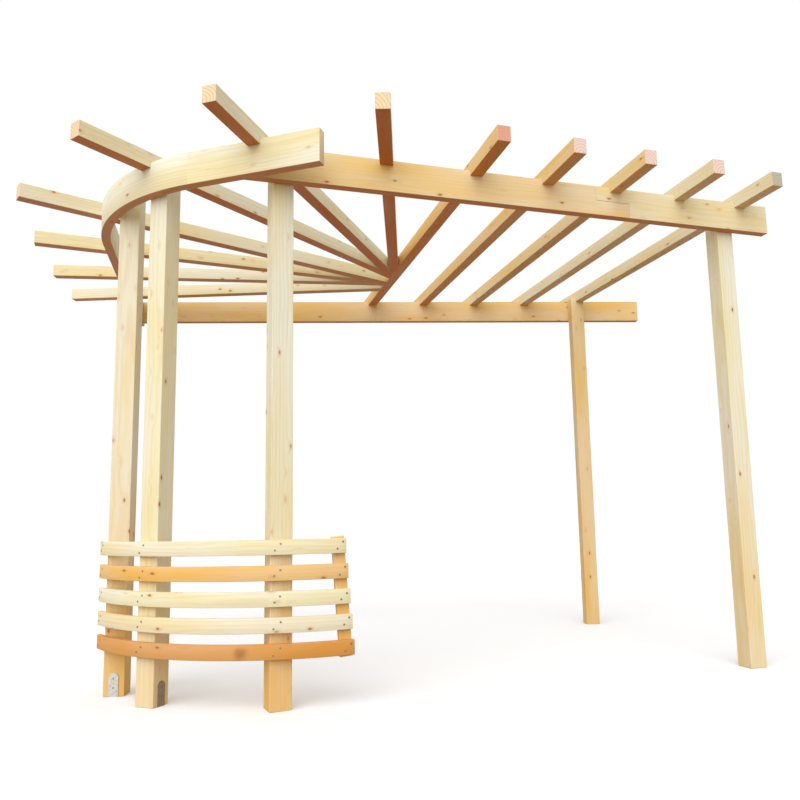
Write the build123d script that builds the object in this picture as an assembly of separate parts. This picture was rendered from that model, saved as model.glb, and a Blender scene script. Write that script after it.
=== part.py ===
from build123d import *
from math import cos, hypot, radians, sin, sqrt, tan
import os

# Open garden frame: six posts, two beams, a bow round the left end, plain rafters and a fan of rafters.
# Millimetres. +Z up, +X along the front beam, +Y to the rear. Origin: foot centre of the front left post.

# Heights
beam_top = 2300
beam_depth = 145
notch_depth = 25

# Timber sections
post = 90
beam_thick = 45
rafter_width = 60
rafter_height = 70
bow_thick = 45

# Plain rafters
rafter_count = 5
rafter_first_x = 872
rafter_spacing = 360
front_overhangs = (325, 312, 300, 300, 262)
rear_overhang = 180

# Front row
front_left_turn = -10
front_right_x = 2246
front_right_overhang = 229
splice_x = 1575
splice_length = 180

# Rear row, skewed to the front one; its right post stands under the last plain rafter
rear_skew = 13
rear_right_shift = -8
rear_right_y = 1609
rear_left_x = -590
rear_right_overhang = 475

# Fan of rafters about three hubs on the first plain rafter, angles from its front end towards the left
hub_x = rafter_first_x
fan_hubs_y = (1375, 1375, 1375, 1500, 1500, 1500, 1615)
fan_angles = (16, 33.5, 50.7, 67.5, 83.6, 99.1, 109.2)
fan_lengths = (1980, 2140, 2190, 2205, 2091, 2096, 2150)
fan_open_angle = 75

# Curve of the left end: bow and rail are bent about one centre, angles from the front towards the left
curve_x = 144
curve_y = 836
bow_front_angle = 34
bow_rear_angle = 92
bow_front_run = 615
bow_rear_run = 1610
middle_left_angle = 47
middle_left_turn = 38
left_rear_angle = 68
left_rear_turn = 12

# Rail
rail_right_angle = -9.4
rail_left_angle = 70
slat_count = 5
slat_height = 60
slat_pitch = 100
slat_thick = 20
slat_first_z = 200
slat_end_step = 0.5
upright_width = 52
upright_thick = 22
upright_angle = -6.6
upright_lean = 4
upright_reach = 8

# Steel straps at the feet
strap_width = 40
strap_height = 100
strap_thick = 4
strap_hole_radius = 4
strap_hole_shares = (0.38, 0.76)

# Clearances
seat_gap = 0.3
joint_gap = 0.2
half_share = 0.5

half_post = post * half_share
half_rafter = rafter_width * half_share
rafter_bottom = beam_top - notch_depth
beam_bottom = beam_top - beam_depth
FOOT = (Align.CENTER, Align.CENTER, Align.MIN)


def out(node, shape):
    solids = shape.solids()
    shape = solids[0] if len(solids) == 1 else shape
    shape.label = node
    export_step(shape, os.path.join("parts", node + ".step"))


def polar(x, y, radius, angle):
    return (x - radius * sin(radians(angle)), y - radius * cos(radians(angle)))


def block(x0, x1, y0, y1, z0, z1):
    box = Box(x1 - x0, y1 - y0, z1 - z0, align=(Align.MIN, Align.MIN, Align.MIN))
    return Pos(x0, y0, z0) * box


def prism(points, z0, z1):
    face = make_face(Polyline(*points, close=True))
    return Pos(0, 0, z0) * extrude(face, amount=z1 - z0, dir=(0, 0, 1))


def bent_board(inner, outer, a0, a1, z0, z1):
    mid = (a0 + a1) * half_share
    far = ThreePointArc(*[polar(curve_x, curve_y, outer, a) for a in (a0, mid, a1)])
    near = ThreePointArc(*[polar(curve_x, curve_y, inner, a) for a in (a1, mid, a0)])
    sides = [Line(far @ 1, near @ 0), Line(near @ 1, far @ 0)]
    face = make_face(Curve() + [far, near] + sides)
    return Pos(0, 0, z0) * extrude(face, amount=z1 - z0, dir=(0, 0, 1))


def tangent_board(angle, x0, x1, inner, outer, z0, z1):
    run = block(x0, x1, -outer, -inner, z0, z1)
    return Pos(curve_x, curve_y, 0) * Rot(0, 0, -angle) * run


def post_at(x, y, turn, height, grow=0):
    return Pos(x, y, 0) * Rot(0, 0, -turn) * Box(post + 2 * grow, post + 2 * grow, height, align=FOOT)


def corner_offsets(turn):
    c = half_post * cos(radians(turn))
    s = half_post * sin(radians(turn))
    return [(c + s, c - s), (c - s, -c - s), (-c - s, s - c), (s - c, c + s)]


def inside_curve(angle, turn):
    # Furthest place along the angle at which no corner of the post passes the curve
    ux, uy = -sin(radians(angle)), -cos(radians(angle))
    steps = []
    for dx, dy in corner_offsets(turn):
        along = ux * dx + uy * dy
        steps.append(sqrt(curve_inner ** 2 - dx ** 2 - dy ** 2 + along ** 2) - along)
    return polar(curve_x, curve_y, min(steps), angle)


os.makedirs("parts", exist_ok=True)

# The curve passes the outermost corner of the front left post; the front beam lies against its foremost one
front_left_corners = corner_offsets(front_left_turn)
curve_inner = max(hypot(x - curve_x, y - curve_y) for x, y in front_left_corners)
front_beam_back = min(y for x, y in front_left_corners)
front_beam_face = front_beam_back - beam_thick
front_right_y = front_beam_back + half_post
front_beam_end_x = front_right_x + front_right_overhang
rear_right_x = rafter_first_x + (rafter_count - 1) * rafter_spacing + rear_right_shift
rear_slope = tan(radians(rear_skew))
rear_left_y = rear_right_y + (rear_right_x - rear_left_x) * rear_slope
reach = 2 * max(fan_lengths)

# Posts
middle_left = inside_curve(middle_left_angle, middle_left_turn)
left_rear = inside_curve(left_rear_angle, left_rear_turn)
out("post_front_left", post_at(0, 0, front_left_turn, rafter_bottom))
out("post_front_right", post_at(front_right_x, front_right_y, 0, rafter_bottom))
out("post_middle_left", post_at(*middle_left, middle_left_turn, rafter_bottom))
out("post_left_rear", post_at(*left_rear, left_rear_turn, rafter_bottom))
out("post_rear_right", post_at(rear_right_x, rear_right_y, rear_skew, beam_top))
out("post_rear_left", post_at(rear_left_x, rear_left_y, rear_skew, beam_top))
rear_post_seat = post_at(rear_right_x, rear_right_y, rear_skew, beam_top, seat_gap)


# Bow: bent round the posts, running on straight at both ends
def bow_band(grow):
    inner = curve_inner - grow
    outer = curve_inner + bow_thick + grow
    band = bent_board(inner, outer, bow_front_angle, bow_rear_angle, beam_bottom, beam_top)
    band += tangent_board(bow_front_angle, 0, bow_front_run, inner, outer, beam_bottom, beam_top)
    band += tangent_board(bow_rear_angle, -bow_rear_run, 0, inner, outer, beam_bottom, beam_top)
    return band


out("bow", bow_band(0))
bow_seat = bow_band(seat_gap)
front_scribe = tangent_board(bow_front_angle, -reach, reach, curve_inner - joint_gap, reach, 0, reach)
rear_scribe = tangent_board(bow_rear_angle, -reach, reach, curve_inner - joint_gap, reach, 0, reach)


# Front beam in two pieces, half lapped, its left end scribed to the bow
def front_run(x0, x1, z0, z1, grow=0):
    return block(x0, x1, front_beam_face - grow, front_beam_back + grow, z0, z1)


front_start_x = curve_x - curve_inner
half_splice = splice_length * half_share
beam_middle = beam_bottom + beam_depth * half_share
left_piece = front_run(front_start_x, splice_x - half_splice, beam_bottom, beam_top)
left_piece += front_run(front_start_x, splice_x + half_splice, beam_bottom, beam_middle - joint_gap)
right_piece = front_run(splice_x + half_splice + joint_gap, front_beam_end_x, beam_bottom, beam_top)
right_piece += front_run(splice_x - half_splice + joint_gap, front_beam_end_x, beam_middle, beam_top)
out("front_beam_left", left_piece - front_scribe)
out("front_beam_right", right_piece)
front_seat = front_run(front_start_x, front_beam_end_x, beam_bottom, beam_top, seat_gap) - front_scribe


# Rear beam on the rear faces of its posts, its left end scribed to the bow
def rear_run(grow):
    box = block(-reach, rear_right_overhang, half_post - grow, half_post + beam_thick + grow, 0, beam_depth)
    return Pos(rear_right_x, rear_right_y, beam_bottom) * Rot(0, 0, -rear_skew) * box


out("rear_beam", rear_run(0) - rear_scribe)
rear_seat = rear_run(seat_gap)

# Plain rafters, notched over both beams and over the rear right post
for i in range(rafter_count):
    x = rafter_first_x + i * rafter_spacing
    rear_line = rear_right_y + (rear_right_x - x) * rear_slope
    rear_end = rear_line + (half_post + beam_thick) / cos(radians(rear_skew)) + rear_overhang
    bar = block(x - half_rafter, x + half_rafter, front_beam_face - front_overhangs[i], rear_end,
                rafter_bottom, rafter_bottom + rafter_height)
    out("rafter_%d" % (i + 1), bar - front_seat - rear_seat - rear_post_seat)

# Fan rafters, mitred to the neighbours that share their hub and cut against the first plain rafter
fan_zone = block(hub_x - reach, hub_x - half_rafter - joint_gap, -reach, reach, 0, reach)


def wedge_side(i, step):
    # Bisector towards the next rafter that way, or wide open where that one has another hub
    j = i + step
    if 0 <= j < len(fan_angles) and fan_hubs_y[j] == fan_hubs_y[i]:
        return (fan_angles[i] + fan_angles[j]) * half_share
    return fan_angles[i] + step * fan_open_angle


for i, angle in enumerate(fan_angles):
    low = wedge_side(i, -1)
    high = wedge_side(i, 1)
    half_wedge = radians(high - low) * half_share
    apex = polar(hub_x, fan_hubs_y[i], joint_gap / sin(half_wedge), (low + high) * half_share)
    side = reach / cos(half_wedge)
    wedge = prism([apex, polar(*apex, side, low), polar(*apex, side, high)], 0, reach)
    bar = Box(rafter_width, fan_lengths[i], rafter_height, align=(Align.CENTER, Align.MAX, Align.MIN))
    bar = Pos(hub_x, fan_hubs_y[i], rafter_bottom) * Rot(0, 0, -angle) * bar
    out("fan_rafter_%d" % (i + 1), (bar & wedge & fan_zone) - front_seat - bow_seat)

# Rail: bent slats outside the three left posts, their free ends stepped back with height
for i in range(slat_count):
    z = slat_first_z + i * slat_pitch
    right_end = rail_right_angle + i * slat_end_step
    slat = bent_board(curve_inner, curve_inner + slat_thick, right_end, rail_left_angle, z, z + slat_height)
    out("slat_%d" % (i + 1), slat)

# Leaning upright behind the free ends
rail_height = (slat_count - 1) * slat_pitch + slat_height
rail_middle_z = slat_first_z + rail_height * half_share
upright_height = rail_height + 2 * upright_reach
upright_spread = upright_width * half_share + upright_height * half_share * tan(radians(upright_lean))
upright_middle = sqrt(curve_inner ** 2 - upright_spread ** 2) - upright_thick * half_share
upright_place = Pos(*polar(curve_x, curve_y, upright_middle, upright_angle), rail_middle_z)
upright = Box(upright_width, upright_thick, upright_height)
out("end_upright", upright_place * Rot(0, 0, -upright_angle) * Rot(0, -upright_lean, 0) * upright)

# Straps at two feet, rounded at the top, two screw holes each
strap_round = strap_width * half_share
strap = Box(strap_width, strap_thick, strap_height - strap_round, align=FOOT)
strap += Pos(0, 0, strap_height - strap_round) * Rot(90, 0, 0) * Cylinder(strap_round, strap_thick)
for share in strap_hole_shares:
    strap -= Pos(0, 0, strap_height * share) * Rot(90, 0, 0) * Cylinder(strap_hole_radius, 2 * strap_thick)
strap_out = half_post + strap_thick * half_share
left_rear_face = Pos(*left_rear, 0) * Rot(0, 0, -left_rear_turn)
out("strap_left_rear", left_rear_face * Pos(0, -strap_out, 0) * strap)
middle_left_side = Pos(*middle_left, 0) * Rot(0, 0, 90 - middle_left_turn)
out("strap_middle_left", middle_left_side * Pos(0, -strap_out, 0) * strap)
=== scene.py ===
import math
import random

import bmesh
import bpy
from mathutils import Euler, Matrix, Vector


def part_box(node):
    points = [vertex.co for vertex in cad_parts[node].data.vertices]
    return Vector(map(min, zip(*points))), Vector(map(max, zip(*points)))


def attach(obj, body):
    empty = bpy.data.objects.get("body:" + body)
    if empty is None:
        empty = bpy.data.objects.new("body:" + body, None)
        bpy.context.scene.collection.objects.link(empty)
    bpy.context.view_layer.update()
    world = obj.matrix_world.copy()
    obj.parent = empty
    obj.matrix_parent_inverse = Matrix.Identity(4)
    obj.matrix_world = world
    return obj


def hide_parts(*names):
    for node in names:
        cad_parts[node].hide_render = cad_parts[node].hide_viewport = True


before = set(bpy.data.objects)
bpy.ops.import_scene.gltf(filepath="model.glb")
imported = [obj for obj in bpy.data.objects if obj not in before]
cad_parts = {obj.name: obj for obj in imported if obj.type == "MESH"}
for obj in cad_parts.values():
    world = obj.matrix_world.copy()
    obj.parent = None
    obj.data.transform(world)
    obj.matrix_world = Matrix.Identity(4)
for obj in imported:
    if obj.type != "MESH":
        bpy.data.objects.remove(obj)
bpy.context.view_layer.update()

SEED = 11
random.seed(SEED)

MM = 0.001

# Photograph frame, in pixels
IMAGE_SIDE = 800
FOCAL_PIXELS = 738.6
CENTRE_PIXEL = (417.4, 419.0)

# Camera place in metres and turns in degrees
CAMERA_PLACE = Vector((-0.3243, -3.0665, 0.7225))
CAMERA_YAW = 16.728
CAMERA_PITCH = 7.853
CAMERA_ROLL = -1.146
SENSOR_MM = 36.0

# Light: a wide soft sun (its spread in degrees and its aim) and an even sky
WHITE = "#FFFFFF"
SUN_LIGHT = 2.35
SUN_SPREAD = 75.0
SUN_AIM = Vector((0.46, 0.74, -0.5))
SKY_LIGHT = 0.73
FLOOR_HALF = 30.0
FLOOR_BOUNCE = "#A08B70"
FLOOR_ROUGHNESS = 0.95

RAFTER_COUNT = 5
SLAT_COUNT = 5

# The bent pieces: their common centre and their mean radii, in metres
CURVE_CENTRE = (0.144, 0.836)
BOW_RADIUS = 0.93
RAIL_RADIUS = 0.916
# Past these angles, in degrees from the front towards the left, a bent piece runs on straight
BOW_BEND = (34.0, 92.0)
RAIL_BEND = (-90.0, 90.0)
# The rear beam's direction, in degrees from the front row, and the fan's, from the front towards the left
REAR_BEAM_TURN = -13.0
FAN_TURNS = (16.0, 33.5, 50.7, 67.5, 83.6, 99.1, 109.2)
FLAT = Euler((0, 0, 0))
UPRIGHT = Euler((0, math.pi / 2, 0))
ALONG_Y = Euler((0, 0, math.pi / 2))


def colour(hex_code):
    """sRGB hex to linear RGBA."""
    parts = [int(hex_code[i:i + 2], 16) / 255 for i in (1, 3, 5)]
    return [p / 12.92 if p <= 0.04045 else ((p + 0.055) / 1.055) ** 2.4 for p in parts] + [1.0]


def add(tree, kind, links=(), inputs=(), **settings):
    """Adds a node with its settings, its input values and its incoming links."""
    node = tree.nodes.new(kind)
    for key, value in settings.items():
        setattr(node, key, value)
    for key, value in dict(inputs).items():
        node.inputs[key].default_value = value
    for key, source in dict(links).items():
        tree.links.new(source, node.inputs[key])
    return node


def middle_of(node):
    """The middle of a node's box."""
    low, high = (Vector(corner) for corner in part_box(node))
    return (low + high) / 2


# Planed softwood: pale spring wood, darker summer lines, small tight brown knots, dull end grain.
RING_MM = 13.0              # real rings are 2 to 4 mm; drawn wider so that they show at this distance
SUMMER_FROM = -0.2          # where on the ring's wave the summer wood begins
WANDER_MM = 50.0
WANDER_SCALE = (1.6, 6.0, 6.0)      # per metre: swings about 600 mm long and 170 mm wide
FIBRE_MM = 2.2
FIBRE_COARSE = 0.35         # drawn coarser than fibres are, for the same reason
FIBRE_STRETCH = 0.03
PATCH_SCALE = (1.4, 9.0, 9.0)       # per metre: patches about 700 mm long and 110 mm wide
PATCH_FROM, PATCH_TO = 0.38, 0.75
COARSE_DETAIL, FINE_DETAIL = 2.0, 3.0
KNOT_SPACING_MM = 135.0
KNOT_CROWDING = 2.1         # how much closer knots lie across the grain than along it
KNOT_SCATTER = 0.9
KNOT_MM = 6.0
KNOT_CORE, KNOT_EDGE, KNOT_HALO = 0.7, 2.2, 8.0
RING_PUSH_MM = 12.0

PALE_WOOD = "#E9EBD8"
YELLOW_WOOD = "#EADFA8"
SUMMER_WOOD = "#D29A58"
SUMMER_SHARE = 0.13
FIBRE_WOOD = "#C98F4F"
FIBRE_FROM, FIBRE_TO, FIBRE_SHARE = 0.45, 0.8, 0.16
STAINED_WOOD = "#E8AE3A"
STAIN_BROKEN = 0.35
# Painted shade: a deep amber for faces that look down, standing for their shade; some timbers also get an
# even share of it on their other faces
PAINTED_SHADE_WOOD = "#BD6621"
PAINTED_SHADE_BROKEN = 0.12
HALO_WOOD = "#C98744"
HALO_POWER, HALO_SHARE = 3.0, 0.55
KNOT_WOOD = "#9C6430"
END_RINGS = "#C98E62"
END_RING_SHARE = 0.35
PALE_END = "#EBD6B0"
PINK_END = "#E0A38E"
BLUSH_END = "#EAD3CA"
GREY_END = "#B4B6A2"

SMOOTH_WOOD, ROUGH_WOOD = 0.52, 0.72
ROUGH_FROM, ROUGH_TO = 0.2, 0.8
FIBRE_LIFT = 0.6
BUMP_STRENGTH = 0.25
BUMP_MM = 0.4
WOOD_IOR = 1.5
WOOD_SPECULAR = 0.25

# A face is an end where it looks along the grain, and gets painted shade where it looks down
END_FACING = 0.8
DOWN_FULL, DOWN_NONE = -0.9, -0.5

# Each timber is cut from its own place in a trunk: ranges in metres, along the trunk and off its pith
TRUNK_START = (2, 40)
STRAIGHT_SIDE, STRAIGHT_DEPTH = (-0.05, 0.05), (0.02, 0.07)
BENT_DEPTH, BENT_RISE = (0.02, 0.05), (-0.06, 0.06)

# A dark mark on the lowest slat: its angle, its size, where it fades and its strength on each slat
MARK_ANGLE = 18.5
MARK_MM = 34.0
MARK_FULL, MARK_GONE = 0.6, 1.7
SLAT_MARKS = (0.75, 0.0, 0.0, 0.0, 0.0)


def softwood_group():
    """Colour, roughness and height of planed softwood; X of the input runs along the grain, in metres."""
    tree = bpy.data.node_groups.new("planed_softwood", "ShaderNodeTree")
    face = tree.interface
    for name, kind in (("Grain", "NodeSocketVector"), ("End", "NodeSocketFloat"),
                       ("Stain", "NodeSocketFloat"), ("Painted Shade", "NodeSocketFloat"),
                       ("Mark", "NodeSocketFloat"), ("End Colour", "NodeSocketColor")):
        face.new_socket(name, in_out="INPUT", socket_type=kind)
    for name, kind in (("Colour", "NodeSocketColor"), ("Roughness", "NodeSocketFloat"),
                       ("Height", "NodeSocketFloat")):
        face.new_socket(name, in_out="OUTPUT", socket_type=kind)
    source = add(tree, "NodeGroupInput")
    grain = source.outputs["Grain"]

    # Slow wander of the trunk along the grain
    along = add(tree, "ShaderNodeVectorMath", operation="MULTIPLY", links={0: grain},
                inputs={1: WANDER_SCALE})
    wander = add(tree, "ShaderNodeTexNoise", links={"Vector": along.outputs[0]},
                 inputs={"Scale": 1.0, "Detail": COARSE_DETAIL})
    bend = add(tree, "ShaderNodeMath", operation="MULTIPLY_ADD", links={0: wander.outputs["Fac"]},
               inputs={1: WANDER_MM * MM, 2: -WANDER_MM * MM / 2})

    # Knots: cells long along the grain, with an oval spot where a face cuts near a cell's middle
    knot_scale = 1.0 / (KNOT_SPACING_MM * MM)
    knot_across = KNOT_CROWDING * knot_scale
    knot_space = add(tree, "ShaderNodeVectorMath", operation="MULTIPLY", links={0: grain},
                     inputs={1: (knot_scale, knot_across, knot_across)})
    knot_cells = add(tree, "ShaderNodeTexVoronoi", links={"Vector": knot_space.outputs[0]},
                     inputs={"Scale": 1.0, "Randomness": KNOT_SCATTER}, feature="F1")
    knot_reach = knot_cells.outputs["Distance"]
    knot_radius = KNOT_MM / KNOT_SPACING_MM
    knot = add(tree, "ShaderNodeMapRange", links={"Value": knot_reach}, interpolation_type="SMOOTHSTEP",
               inputs={"From Min": KNOT_CORE * knot_radius, "From Max": KNOT_EDGE * knot_radius,
                       "To Min": 1.0, "To Max": 0.0})
    halo = add(tree, "ShaderNodeMapRange", links={"Value": knot_reach}, interpolation_type="SMOOTHSTEP",
               inputs={"From Min": 0.0, "From Max": KNOT_HALO * knot_radius,
                       "To Min": 1.0, "To Max": 0.0})

    # Rings about the pith, pushed aside round each knot
    parts = add(tree, "ShaderNodeSeparateXYZ", links={0: grain})
    across = add(tree, "ShaderNodeCombineXYZ", links={"Y": parts.outputs["Y"], "Z": parts.outputs["Z"]})
    pith = add(tree, "ShaderNodeVectorMath", operation="LENGTH", links={0: across.outputs[0]})
    bent = add(tree, "ShaderNodeMath", operation="ADD",
               links={0: pith.outputs["Value"], 1: bend.outputs[0]})
    pushed = add(tree, "ShaderNodeMath", operation="MULTIPLY_ADD",
                 links={0: halo.outputs[0], 2: bent.outputs[0]}, inputs={1: RING_PUSH_MM * MM})
    phase = add(tree, "ShaderNodeMath", operation="MULTIPLY", links={0: pushed.outputs[0]},
                inputs={1: 2 * math.pi / (RING_MM * MM)})
    wave = add(tree, "ShaderNodeMath", operation="SINE", links={0: phase.outputs[0]})
    ring = add(tree, "ShaderNodeMapRange", links={"Value": wave.outputs[0]},
               interpolation_type="SMOOTHSTEP",
               inputs={"From Min": SUMMER_FROM, "From Max": 1.0, "To Min": 0.0, "To Max": 1.0})

    # Fine fibres and broad patches
    fibre_scale = 1.0 / (FIBRE_MM * MM)
    fibre_space = add(tree, "ShaderNodeVectorMath", operation="MULTIPLY", links={0: grain},
                      inputs={1: (FIBRE_STRETCH * fibre_scale, fibre_scale, fibre_scale)})
    fibre = add(tree, "ShaderNodeTexNoise", links={"Vector": fibre_space.outputs[0]},
                inputs={"Scale": FIBRE_COARSE, "Detail": FINE_DETAIL})
    patch_space = add(tree, "ShaderNodeVectorMath", operation="MULTIPLY", links={0: grain},
                      inputs={1: PATCH_SCALE})
    patch_noise = add(tree, "ShaderNodeTexNoise", links={"Vector": patch_space.outputs[0]},
                      inputs={"Scale": 1.0, "Detail": FINE_DETAIL})
    patch = add(tree, "ShaderNodeMapRange", links={"Value": patch_noise.outputs["Fac"]},
                inputs={"From Min": PATCH_FROM, "From Max": PATCH_TO})

    # Bare wood: patches, summer lines, fibres
    pale = add(tree, "ShaderNodeMix", data_type="RGBA", links={"Factor": patch.outputs[0]},
               inputs={"A": colour(PALE_WOOD), "B": colour(YELLOW_WOOD)})
    ring_share = add(tree, "ShaderNodeMath", operation="MULTIPLY", links={0: ring.outputs[0]},
                     inputs={1: SUMMER_SHARE})
    ringed = add(tree, "ShaderNodeMix", data_type="RGBA", inputs={"B": colour(SUMMER_WOOD)},
                 links={"Factor": ring_share.outputs[0], "A": pale.outputs["Result"]})
    fibre_share = add(tree, "ShaderNodeMapRange", links={"Value": fibre.outputs["Fac"]},
                      inputs={"From Min": FIBRE_FROM, "From Max": FIBRE_TO,
                              "To Min": 0.0, "To Max": FIBRE_SHARE})
    fibred = add(tree, "ShaderNodeMix", data_type="RGBA", inputs={"B": colour(FIBRE_WOOD)},
                 links={"Factor": fibre_share.outputs[0], "A": ringed.outputs["Result"]})

    # Orange weathering where the input asks for it, broken up by the patches
    stain_break = add(tree, "ShaderNodeMath", operation="MULTIPLY_ADD", links={0: patch.outputs[0]},
                      inputs={1: STAIN_BROKEN, 2: 1.0 - STAIN_BROKEN})
    stain = add(tree, "ShaderNodeMath", operation="MULTIPLY",
                links={0: source.outputs["Stain"], 1: stain_break.outputs[0]})
    stained = add(tree, "ShaderNodeMix", data_type="RGBA", inputs={"B": colour(STAINED_WOOD)},
                  links={"Factor": stain.outputs[0], "A": fibred.outputs["Result"]})
    # Painted shade: deep amber mixed in as far as the input asks, standing for the shade on faces that look
    # down, broken up a little by the patches
    painted_shade_break = add(tree, "ShaderNodeMath", operation="MULTIPLY_ADD", links={0: patch.outputs[0]},
                        inputs={1: PAINTED_SHADE_BROKEN, 2: 1.0 - PAINTED_SHADE_BROKEN})
    painted_shade = add(tree, "ShaderNodeMath", operation="MULTIPLY",
                  links={0: source.outputs["Painted Shade"], 1: painted_shade_break.outputs[0]})
    painted_shaded = add(tree, "ShaderNodeMix", data_type="RGBA", inputs={"B": colour(PAINTED_SHADE_WOOD)},
                    links={"Factor": painted_shade.outputs[0], "A": stained.outputs["Result"]})

    # Knots with their halos, the mark, and the end grain
    halo_fall = add(tree, "ShaderNodeMath", operation="POWER", links={0: halo.outputs[0]},
                    inputs={1: HALO_POWER})
    halo_share = add(tree, "ShaderNodeMath", operation="MULTIPLY", links={0: halo_fall.outputs[0]},
                     inputs={1: HALO_SHARE})
    haloed = add(tree, "ShaderNodeMix", data_type="RGBA", inputs={"B": colour(HALO_WOOD)},
                 links={"Factor": halo_share.outputs[0], "A": painted_shaded.outputs["Result"]})
    dark = add(tree, "ShaderNodeMath", operation="MAXIMUM",
               links={0: knot.outputs[0], 1: source.outputs["Mark"]})
    knotted = add(tree, "ShaderNodeMix", data_type="RGBA", inputs={"B": colour(KNOT_WOOD)},
                  links={"Factor": dark.outputs[0], "A": haloed.outputs["Result"]})
    end_share = add(tree, "ShaderNodeMath", operation="MULTIPLY", links={0: ring.outputs[0]},
                    inputs={1: END_RING_SHARE})
    end_rings = add(tree, "ShaderNodeMix", data_type="RGBA", inputs={"B": colour(END_RINGS)},
                    links={"Factor": end_share.outputs[0], "A": source.outputs["End Colour"]})
    ended = add(tree, "ShaderNodeMix", data_type="RGBA",
                links={"Factor": source.outputs["End"], "A": knotted.outputs["Result"],
                       "B": end_rings.outputs["Result"]})

    rough = add(tree, "ShaderNodeMapRange", links={"Value": fibre.outputs["Fac"]},
                inputs={"From Min": ROUGH_FROM, "From Max": ROUGH_TO,
                        "To Min": SMOOTH_WOOD, "To Max": ROUGH_WOOD})
    lift = add(tree, "ShaderNodeMath", operation="MULTIPLY_ADD",
               links={0: fibre.outputs["Fac"], 2: ring.outputs[0]}, inputs={1: FIBRE_LIFT})
    add(tree, "NodeGroupOutput", links={"Colour": ended.outputs["Result"],
                                        "Roughness": rough.outputs[0], "Height": lift.outputs[0]})
    return tree


def finish_timber(material, grain, end, stain_and_shade, end_colour):
    """Ends a timber material: the softwood group, a shallow bump and the shader."""
    tree = material.node_tree
    stain, painted_shade = stain_and_shade
    wood = add(tree, "ShaderNodeGroup", node_tree=SOFTWOOD,
               links={"Grain": grain, "End": end, "Stain": stain, "Painted Shade": painted_shade})
    wood.inputs["End Colour"].default_value = colour(end_colour)
    bump = add(tree, "ShaderNodeBump", links={"Height": wood.outputs["Height"]},
               inputs={"Strength": BUMP_STRENGTH, "Distance": BUMP_MM * MM})
    shader = tree.nodes["Principled BSDF"]
    shader.inputs["IOR"].default_value = WOOD_IOR
    shader.inputs["Specular IOR Level"].default_value = WOOD_SPECULAR
    tree.links.new(wood.outputs["Colour"], shader.inputs["Base Color"])
    tree.links.new(wood.outputs["Roughness"], shader.inputs["Roughness"])
    tree.links.new(bump.outputs["Normal"], shader.inputs["Normal"])
    return wood


def stain_and_painted_shade(tree, position, normal, stain):
    """Stain that fades between two heights, and painted shade on faces that look down, over an even share on
    the others.
    """
    low, high, at_low, at_high, shade_below, even = stain
    height = add(tree, "ShaderNodeSeparateXYZ", links={0: position})
    fade = add(tree, "ShaderNodeMapRange", links={"Value": height.outputs["Z"]},
               interpolation_type="SMOOTHSTEP",
               inputs={"From Min": low, "From Max": high, "To Min": at_low, "To Max": at_high})
    facing = add(tree, "ShaderNodeSeparateXYZ", links={0: normal})
    painted_underside_shade = add(tree, "ShaderNodeMapRange", links={"Value": facing.outputs["Z"]},
                inputs={"From Min": DOWN_FULL, "From Max": DOWN_NONE, "To Min": shade_below, "To Max": even})
    return fade.outputs[0], painted_underside_shade.outputs[0]


def straight_timber(node, turn, stain, end_colour=PALE_END):
    """Softwood for a straight timber: turn is an Euler that brings its length onto X."""
    material = bpy.data.materials.new("softwood_" + node)
    material.use_nodes = True
    tree = material.node_tree
    start = Vector((random.uniform(*TRUNK_START), random.uniform(*STRAIGHT_SIDE),
                    random.uniform(*STRAIGHT_DEPTH)))
    place = add(tree, "ShaderNodeTexCoord").outputs["Object"]
    grain = add(tree, "ShaderNodeMapping", links={"Vector": place},
                inputs={"Location": start - turn.to_matrix() @ middle_of(node), "Rotation": turn})
    length = turn.to_matrix().inverted() @ Vector((1, 0, 0))
    normal = add(tree, "ShaderNodeNewGeometry").outputs["True Normal"]
    facing = add(tree, "ShaderNodeVectorMath", operation="DOT_PRODUCT", links={0: normal},
                 inputs={1: length})
    either = add(tree, "ShaderNodeMath", operation="ABSOLUTE", links={0: facing.outputs["Value"]})
    end = add(tree, "ShaderNodeMath", operation="GREATER_THAN", links={0: either.outputs[0]},
              inputs={1: END_FACING})
    finish_timber(material, grain.outputs[0], end.outputs[0],
                  stain_and_painted_shade(tree, place, normal, stain), end_colour)
    return material


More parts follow.
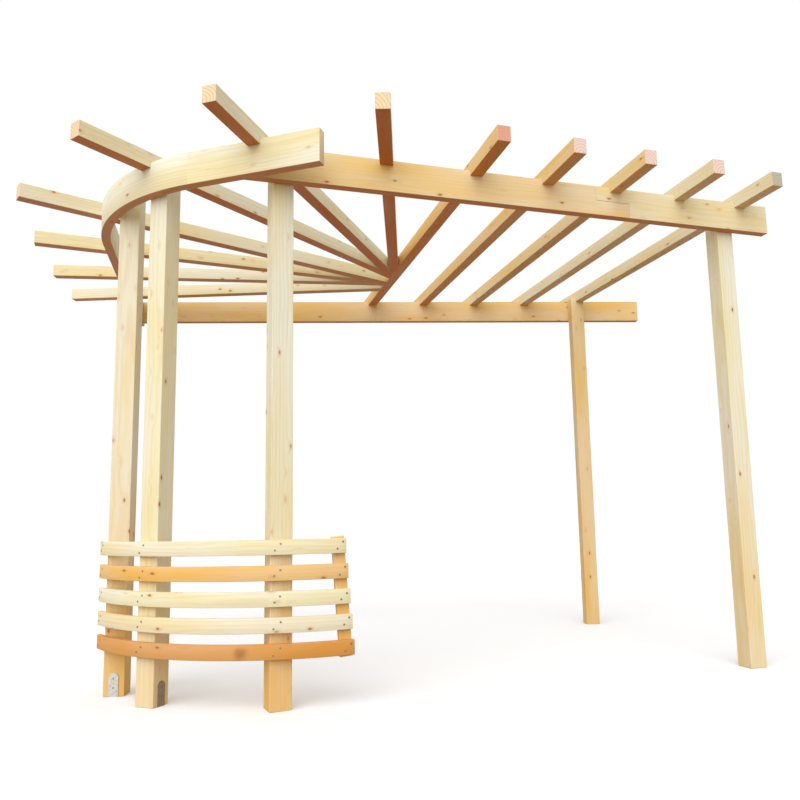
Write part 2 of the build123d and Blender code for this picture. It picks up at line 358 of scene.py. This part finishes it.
def bent_timber(node, radius, bend, stain, mark=0.0):
    """Softwood for a bent timber: the grain follows the bend, and goes straight on past its two angles."""
    material = bpy.data.materials.new("softwood_" + node)
    material.use_nodes = True
    tree = material.node_tree
    place = add(tree, "ShaderNodeTexCoord").outputs["Object"]
    inward = add(tree, "ShaderNodeVectorMath", operation="SUBTRACT", links={1: place},
                 inputs={0: (*CURVE_CENTRE, 0)})
    parts = add(tree, "ShaderNodeSeparateXYZ", links={0: inward.outputs[0]})

    # Directions to the centre and along the length, at the bend's angle
    free = add(tree, "ShaderNodeMath", operation="ARCTAN2",
               links={0: parts.outputs["X"], 1: parts.outputs["Y"]})
    angle = add(tree, "ShaderNodeClamp", links={"Value": free.outputs[0]},
                inputs={"Min": math.radians(bend[0]), "Max": math.radians(bend[1])})
    sine = add(tree, "ShaderNodeMath", operation="SINE", links={0: angle.outputs[0]})
    cosine = add(tree, "ShaderNodeMath", operation="COSINE", links={0: angle.outputs[0]})
    minus_sine = add(tree, "ShaderNodeMath", operation="MULTIPLY", links={0: sine.outputs[0]},
                     inputs={1: -1.0})
    to_centre = add(tree, "ShaderNodeCombineXYZ", links={"X": sine.outputs[0], "Y": cosine.outputs[0]})
    length = add(tree, "ShaderNodeCombineXYZ",
                 links={"X": cosine.outputs[0], "Y": minus_sine.outputs[0]})

    # The grain: the run along the bend, the depth from its mean radius and the rise
    reach = add(tree, "ShaderNodeVectorMath", operation="DOT_PRODUCT",
                links={0: inward.outputs[0], 1: to_centre.outputs[0]})
    straight = add(tree, "ShaderNodeVectorMath", operation="DOT_PRODUCT",
                   links={0: inward.outputs[0], 1: length.outputs[0]})
    run = add(tree, "ShaderNodeMath", operation="MULTIPLY_ADD", inputs={1: radius},
              links={0: angle.outputs[0], 2: straight.outputs["Value"]})
    along = add(tree, "ShaderNodeMath", operation="ADD", links={0: run.outputs[0]},
                inputs={1: random.uniform(*TRUNK_START)})
    depth = add(tree, "ShaderNodeMath", operation="ADD", links={0: reach.outputs["Value"]},
                inputs={1: random.uniform(*BENT_DEPTH) - radius})
    rise = add(tree, "ShaderNodeMath", operation="ADD", links={0: parts.outputs["Z"]},
               inputs={1: random.uniform(*BENT_RISE) + middle_of(node).z})
    grain = add(tree, "ShaderNodeCombineXYZ",
                links={"X": along.outputs[0], "Y": depth.outputs[0], "Z": rise.outputs[0]})

    # The mark: a round spot with an uneven edge
    mark_run = add(tree, "ShaderNodeMath", operation="SUBTRACT", links={0: run.outputs[0]},
                   inputs={1: radius * math.radians(MARK_ANGLE)})
    mark_space = add(tree, "ShaderNodeCombineXYZ", links={"X": mark_run.outputs[0], "Y": rise.outputs[0]})
    mark_reach = add(tree, "ShaderNodeVectorMath", operation="LENGTH", links={0: mark_space.outputs[0]})
    mark_ripple = add(tree, "ShaderNodeTexNoise", links={"Vector": place},
                      inputs={"Scale": 1.0 / (MARK_MM * MM), "Detail": COARSE_DETAIL})
    mark_edge = add(tree, "ShaderNodeMath", operation="MULTIPLY_ADD", inputs={1: MARK_MM * MM},
                    links={0: mark_ripple.outputs["Fac"], 2: mark_reach.outputs["Value"]})
    mark_fade = add(tree, "ShaderNodeMapRange", links={"Value": mark_edge.outputs[0]},
                    interpolation_type="SMOOTHSTEP",
                    inputs={"From Min": MARK_FULL * MARK_MM * MM, "From Max": MARK_GONE * MARK_MM * MM,
                            "To Min": mark, "To Max": 0.0})

    normal = add(tree, "ShaderNodeNewGeometry").outputs["True Normal"]
    facing = add(tree, "ShaderNodeVectorMath", operation="DOT_PRODUCT",
                 links={0: normal, 1: length.outputs[0]})
    either = add(tree, "ShaderNodeMath", operation="ABSOLUTE", links={0: facing.outputs["Value"]})
    end = add(tree, "ShaderNodeMath", operation="GREATER_THAN", links={0: either.outputs[0]},
              inputs={1: END_FACING})
    wood = finish_timber(material, grain.outputs[0], end.outputs[0],
                         stain_and_painted_shade(tree, place, normal, stain), PALE_END)
    tree.links.new(mark_fade.outputs[0], wood.inputs["Mark"])
    return material


# Spangle: the crystals of a hot-dipped coat, faint flakes a few millimetres across
SPANGLE_MM = 6.25


def galvanised_steel(name, light, dark, metallic, roughness):
    """Zinc-coated steel: grey, dull, with faint spangle; less metallic and browner as it gets dirty."""
    material = bpy.data.materials.new(name)
    material.use_nodes = True
    tree = material.node_tree
    place = add(tree, "ShaderNodeTexCoord")
    spangle = add(tree, "ShaderNodeTexVoronoi", links={"Vector": place.outputs["Object"]},
                  inputs={"Scale": 1.0 / (SPANGLE_MM * MM)})
    tone = add(tree, "ShaderNodeMix", data_type="RGBA", links={"Factor": spangle.outputs["Distance"]},
               inputs={"A": colour(light), "B": colour(dark)})
    shader = tree.nodes["Principled BSDF"]
    shader.inputs["Metallic"].default_value = metallic
    shader.inputs["Roughness"].default_value = roughness
    tree.links.new(tone.outputs["Result"], shader.inputs["Base Color"])
    return material


def dress(node, material):
    """Gives a CAD node its finish."""
    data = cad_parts[node].data
    data.materials.clear()
    data.materials.append(material)


# Planed timber has its arrises eased by hand
EASED_MM = 2.5
EASED_STEPS = 2
EASED_PROFILE = 0.5
SHARP_DEGREES = 40.0
MERGE_MM = 0.02
FLAT_DEGREES = 0.5


def eased_timber(node, material):
    """A copy of a timber with its outer arrises eased, which stands for the CAD solid."""
    shape = bmesh.new()
    shape.from_mesh(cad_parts[node].data)
    bmesh.ops.remove_doubles(shape, verts=shape.verts, dist=MERGE_MM * MM)
    bmesh.ops.dissolve_limit(shape, angle_limit=math.radians(FLAT_DEGREES),
                             verts=shape.verts, edges=shape.edges)
    arrises = [edge for edge in shape.edges
               if edge.is_manifold and edge.calc_face_angle_signed() > math.radians(SHARP_DEGREES)]
    bmesh.ops.bevel(shape, geom=arrises, offset=EASED_MM * MM, offset_type="OFFSET",
                    segments=EASED_STEPS, profile=EASED_PROFILE, affect="EDGES", clamp_overlap=True)
    mesh = bpy.data.meshes.new("eased_" + node)
    shape.to_mesh(mesh)
    shape.free()
    mesh.materials.append(material)
    piece = bpy.data.objects.new("eased_" + node, mesh)
    bpy.context.scene.collection.objects.link(piece)
    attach(piece, "root")
    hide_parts(node)


SOFTWOOD = softwood_group()

# Weathering and painted shade: two heights in metres, the stain at each, the painted shade on faces that
# look down and its share on the others
STAIN_AND_SHADE_POSTS = {
    "post_front_left": (0.1, 0.9, 0.9, 0.0, 0.9, 0.03),
    "post_front_right": (0.2, 1.7, 0.4, 0.05, 0.9, 0.0),
    "post_middle_left": (0.0, 1.0, 0.45, 0.05, 0.9, 0.0),
    "post_left_rear": (0.1, 1.2, 0.85, 0.15, 0.9, 0.05),
    "post_rear_right": (0.2, 2.2, 0.8, 0.55, 0.9, 0.03),
    "post_rear_left": (0.2, 2.2, 0.8, 0.55, 0.9, 0.03),
}
STAIN_AND_SHADE_UPRIGHT = (0.0, 1.0, 0.9, 0.6, 0.9, 0.15)
STAIN_AND_SHADE_FRONT_BEAM = {
    "front_beam_left": (2.1, 2.4, 0.6, 0.5, 0.9, 0.0),
    "front_beam_right": (2.1, 2.4, 0.25, 0.2, 0.9, 0.0),
}
STAIN_AND_SHADE_REAR_BEAM = (2.1, 2.4, 0.75, 0.75, 1.0, 0.06)
STAIN_AND_SHADE_BOW = (2.1, 2.3, 0.15, 0.0, 0.8, 0.0)
STAIN_AND_SHADE_SLATS = (
    (0.0, 0.3, 1.0, 1.0, 1.0, 0.55),
    (0.2, 0.5, 0.25, 0.25, 0.8, 0.0),
    (0.2, 0.5, 0.0, 0.0, 0.8, 0.0),
    (0.2, 0.6, 1.0, 1.0, 0.9, 0.08),
    (0.2, 0.7, 0.1, 0.1, 0.8, 0.0),
)
# Rafters, in order: the stain and the painted shade below of each; no painted shade on their other faces
RAFTER_HEIGHTS = (2.2, 2.4)
RAFTER_STAIN = (0.95, 0.8, 0.45, 0.25, 0.25)
RAFTER_PAINTED_SHADE = (0.8, 0.65, 0.55, 0.42, 0.4)
RAFTER_ENDS = (PINK_END, BLUSH_END, BLUSH_END, BLUSH_END, GREY_END)
# Fan rafters: the stain at the two heights, and the painted shade below of each, in order
FAN_STAIN = (0.25, 0.1)
FAN_PAINTED_SHADE = (1.0, 1.0, 0.95, 0.85, 0.75, 0.75, 0.7)

for node, stain in STAIN_AND_SHADE_POSTS.items():
    eased_timber(node, straight_timber(node, UPRIGHT, stain))
eased_timber("end_upright", straight_timber("end_upright", UPRIGHT, STAIN_AND_SHADE_UPRIGHT))
for node, stain in STAIN_AND_SHADE_FRONT_BEAM.items():
    eased_timber(node, straight_timber(node, FLAT, stain))
rear_turn = Euler((0, 0, -math.radians(REAR_BEAM_TURN)))
eased_timber("rear_beam", straight_timber("rear_beam", rear_turn, STAIN_AND_SHADE_REAR_BEAM))
for i in range(RAFTER_COUNT):
    node = "rafter_%d" % (i + 1)
    stain = (*RAFTER_HEIGHTS, RAFTER_STAIN[i], RAFTER_STAIN[i], RAFTER_PAINTED_SHADE[i], 0.0)
    eased_timber(node, straight_timber(node, ALONG_Y, stain, RAFTER_ENDS[i]))
for i, turn in enumerate(FAN_TURNS):
    node = "fan_rafter_%d" % (i + 1)
    fan_turn = Euler((0, 0, math.pi / 2 + math.radians(turn)))
    stain = (*RAFTER_HEIGHTS, *FAN_STAIN, FAN_PAINTED_SHADE[i], 0.0)
    eased_timber(node, straight_timber(node, fan_turn, stain))
eased_timber("bow", bent_timber("bow", BOW_RADIUS, BOW_BEND, STAIN_AND_SHADE_BOW))
for i in range(SLAT_COUNT):
    node = "slat_%d" % (i + 1)
    wood = bent_timber(node, RAIL_RADIUS, RAIL_BEND, STAIN_AND_SHADE_SLATS[i], SLAT_MARKS[i])
    eased_timber(node, wood)

# One strap is still bright, the other is dulled by dirt and stain
dress("strap_left_rear", galvanised_steel("galvanised_steel", light="#CFCFC9", dark="#A8A8A2",
                                          metallic=0.7, roughness=0.5))
dress("strap_middle_left", galvanised_steel("dulled_steel", light="#A38E72", dark="#86735A",
                                            metallic=0.45, roughness=0.7))

# Screws: round countersunk heads, two where a slat crosses a post or the upright
SCREW_RADIUS_MM = 4.2
SCREW_PROUD_MM = 0.8
SCREW_SIDES = 14
SCREW_SPREAD_MM = 12.0
SCREW_RISE_MM = 13.0
SCREW_DRIFT_MM = 3.0
SCREW_END_MM = 26.0
RAIL_POSTS = ("post_front_left", "post_middle_left", "post_left_rear")


def screw_tree(material):
    """Puts a round head on every point, its axis along the point's outward attribute."""
    tree = bpy.data.node_groups.new("screw_heads", "GeometryNodeTree")
    face = tree.interface
    face.new_socket("Geometry", in_out="INPUT", socket_type="NodeSocketGeometry")
    for name in ("Head Radius", "Head Height"):
        face.new_socket(name, in_out="INPUT", socket_type="NodeSocketFloat")
    face.new_socket("Geometry", in_out="OUTPUT", socket_type="NodeSocketGeometry")
    source = add(tree, "NodeGroupInput")
    head = add(tree, "GeometryNodeMeshCylinder", inputs={"Vertices": SCREW_SIDES},
               links={"Radius": source.outputs["Head Radius"], "Depth": source.outputs["Head Height"]})
    outward = add(tree, "GeometryNodeInputNamedAttribute", data_type="FLOAT_VECTOR",
                  inputs={"Name": "outward"})
    turned = add(tree, "FunctionNodeAlignRotationToVector", axis="Z",
                 links={"Vector": outward.outputs["Attribute"]})
    placed = add(tree, "GeometryNodeInstanceOnPoints",
                 links={"Points": source.outputs["Geometry"], "Instance": head.outputs["Mesh"],
                        "Rotation": turned.outputs[0]})
    real = add(tree, "GeometryNodeRealizeInstances", links={"Geometry": placed.outputs[0]})
    coated = add(tree, "GeometryNodeSetMaterial", links={"Geometry": real.outputs[0]},
                 inputs={"Material": material})
    add(tree, "NodeGroupOutput", links={"Geometry": coated.outputs[0]})
    return tree


def screws(name, places, material):
    """One mesh of screw heads from pairs of point and outward direction."""
    points = bpy.data.meshes.new(name)
    points.from_pydata([list(point) for point, _ in places], [], [])
    outward = points.attributes.new("outward", "FLOAT_VECTOR", "POINT")
    for item, (_, direction) in zip(outward.data, places):
        item.vector = direction
    piece = bpy.data.objects.new(name, points)
    bpy.context.scene.collection.objects.link(piece)
    modifier = piece.modifiers.new("heads", "NODES")
    modifier.node_group = screw_tree(material)
    sizes = {"Head Radius": SCREW_RADIUS_MM * MM, "Head Height": 2 * SCREW_PROUD_MM * MM}
    for socket in modifier.node_group.interface.items_tree:
        if socket.in_out == "INPUT" and socket.name in sizes:
            modifier[socket.identifier] = sizes[socket.name]
    made = bpy.data.meshes.new_from_object(piece.evaluated_get(bpy.context.evaluated_depsgraph_get()))
    piece.modifiers.remove(modifier)
    piece.data = made
    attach(piece, "root")


curve_x, curve_y = CURVE_CENTRE
slat_screws = []
for i in range(SLAT_COUNT):
    low, high = (Vector(corner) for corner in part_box("slat_%d" % (i + 1)))
    outer_radius = curve_y - low.y
    # Angles from the front towards the left: the posts, then the free end, which the upright backs
    middles = [middle_of(post) for post in RAIL_POSTS]
    angles = [math.atan2(curve_x - middle.x, curve_y - middle.y) for middle in middles]
    angles.append(SCREW_END_MM * MM / outer_radius - math.asin((high.x - curve_x) / outer_radius))
    for angle in angles:
        outward = Vector((-math.sin(angle), -math.cos(angle), 0))
        along = Vector((math.cos(angle), -math.sin(angle), 0))
        for side in (-1, 1):
            across = side * SCREW_SPREAD_MM + random.uniform(-1, 1) * SCREW_DRIFT_MM
            lift = side * SCREW_RISE_MM + random.uniform(-1, 1) * SCREW_DRIFT_MM
            spot = Vector((curve_x, curve_y, (low.z + high.z) / 2 + lift * MM)) + outward * outer_radius
            slat_screws.append((spot + along * across * MM, outward))
ZINC = galvanised_steel("zinc_plated_screw", light="#8E8474", dark="#7A7264", metallic=0.75, roughness=0.5)
screws("slat_screws", slat_screws, ZINC)


def background_rays(tree):
    """1 on the rays that show the background: camera, glossy and transmission rays."""
    rays = add(tree, "ShaderNodeLightPath")
    seen = add(tree, "ShaderNodeMath", operation="MAXIMUM",
               links={0: rays.outputs["Is Camera Ray"], 1: rays.outputs["Is Glossy Ray"]})
    shown = add(tree, "ShaderNodeMath", operation="MAXIMUM",
                links={0: seen.outputs[0], 1: rays.outputs["Is Transmission Ray"]})
    return shown.outputs[0]


# Floor: matt and white where it is seen, and a sandy ground in the light that it throws back
corners = ((-1, -1), (1, -1), (1, 1), (-1, 1))
floor_mesh = bpy.data.meshes.new("floor")
floor_mesh.from_pydata([(x * FLOOR_HALF, y * FLOOR_HALF, 0) for x, y in corners], [], [(0, 1, 2, 3)])
floor = bpy.data.objects.new("floor", floor_mesh)
bpy.context.scene.collection.objects.link(floor)
pale_floor = bpy.data.materials.new("pale_floor")
pale_floor.use_nodes = True
ground = pale_floor.node_tree
ground_tone = add(ground, "ShaderNodeMix", data_type="RGBA", links={"Factor": background_rays(ground)},
                  inputs={"A": colour(FLOOR_BOUNCE), "B": colour(WHITE)})
ground_shader = ground.nodes["Principled BSDF"]
ground.links.new(ground_tone.outputs["Result"], ground_shader.inputs["Base Color"])
ground_shader.inputs["Roughness"].default_value = FLOOR_ROUGHNESS
ground_shader.inputs["Specular IOR Level"].default_value = 0.0
floor_mesh.materials.append(pale_floor)

# Light: white where the sky is seen, its own strength where it lights
world = bpy.data.worlds.new("studio")
bpy.context.scene.world = world
world.use_nodes = True
sky = world.node_tree
sky.nodes.clear()
level = add(sky, "ShaderNodeMapRange", links={"Value": background_rays(sky)},
            inputs={"To Min": SKY_LIGHT, "To Max": 1.0})
backdrop = add(sky, "ShaderNodeBackground", links={"Strength": level.outputs[0]},
               inputs={"Color": colour(WHITE)})
add(sky, "ShaderNodeOutputWorld", links={"Surface": backdrop.outputs[0]})

sun = bpy.data.lights.new("key", "SUN")
sun.energy = SUN_LIGHT
sun.angle = math.radians(SUN_SPREAD)
key = bpy.data.objects.new("key", sun)
key.rotation_euler = SUN_AIM.to_track_quat("-Z", "Y").to_euler()
bpy.context.scene.collection.objects.link(key)

# Camera
yaw, pitch, roll = (math.radians(a) for a in (CAMERA_YAW, CAMERA_PITCH, CAMERA_ROLL))
ahead = Vector((math.sin(yaw) * math.cos(pitch), math.cos(yaw) * math.cos(pitch), math.sin(pitch)))
side = Vector((math.cos(yaw), -math.sin(yaw), 0))
above = side.cross(ahead)
right = math.cos(roll) * side + math.sin(roll) * above
up = math.cos(roll) * above - math.sin(roll) * side
lens = bpy.data.cameras.new("camera")
lens.sensor_width = SENSOR_MM
lens.lens = FOCAL_PIXELS / IMAGE_SIDE * SENSOR_MM
lens.shift_x = (IMAGE_SIDE / 2 - CENTRE_PIXEL[0]) / IMAGE_SIDE
lens.shift_y = (CENTRE_PIXEL[1] - IMAGE_SIDE / 2) / IMAGE_SIDE
camera = bpy.data.objects.new("camera", lens)
turn = Matrix((right, up, -ahead)).transposed()
camera.matrix_world = Matrix.Translation(CAMERA_PLACE) @ turn.to_4x4()
bpy.context.scene.collection.objects.link(camera)
bpy.context.scene.camera = camera
bpy.context.scene.view_settings.view_transform = "Standard"
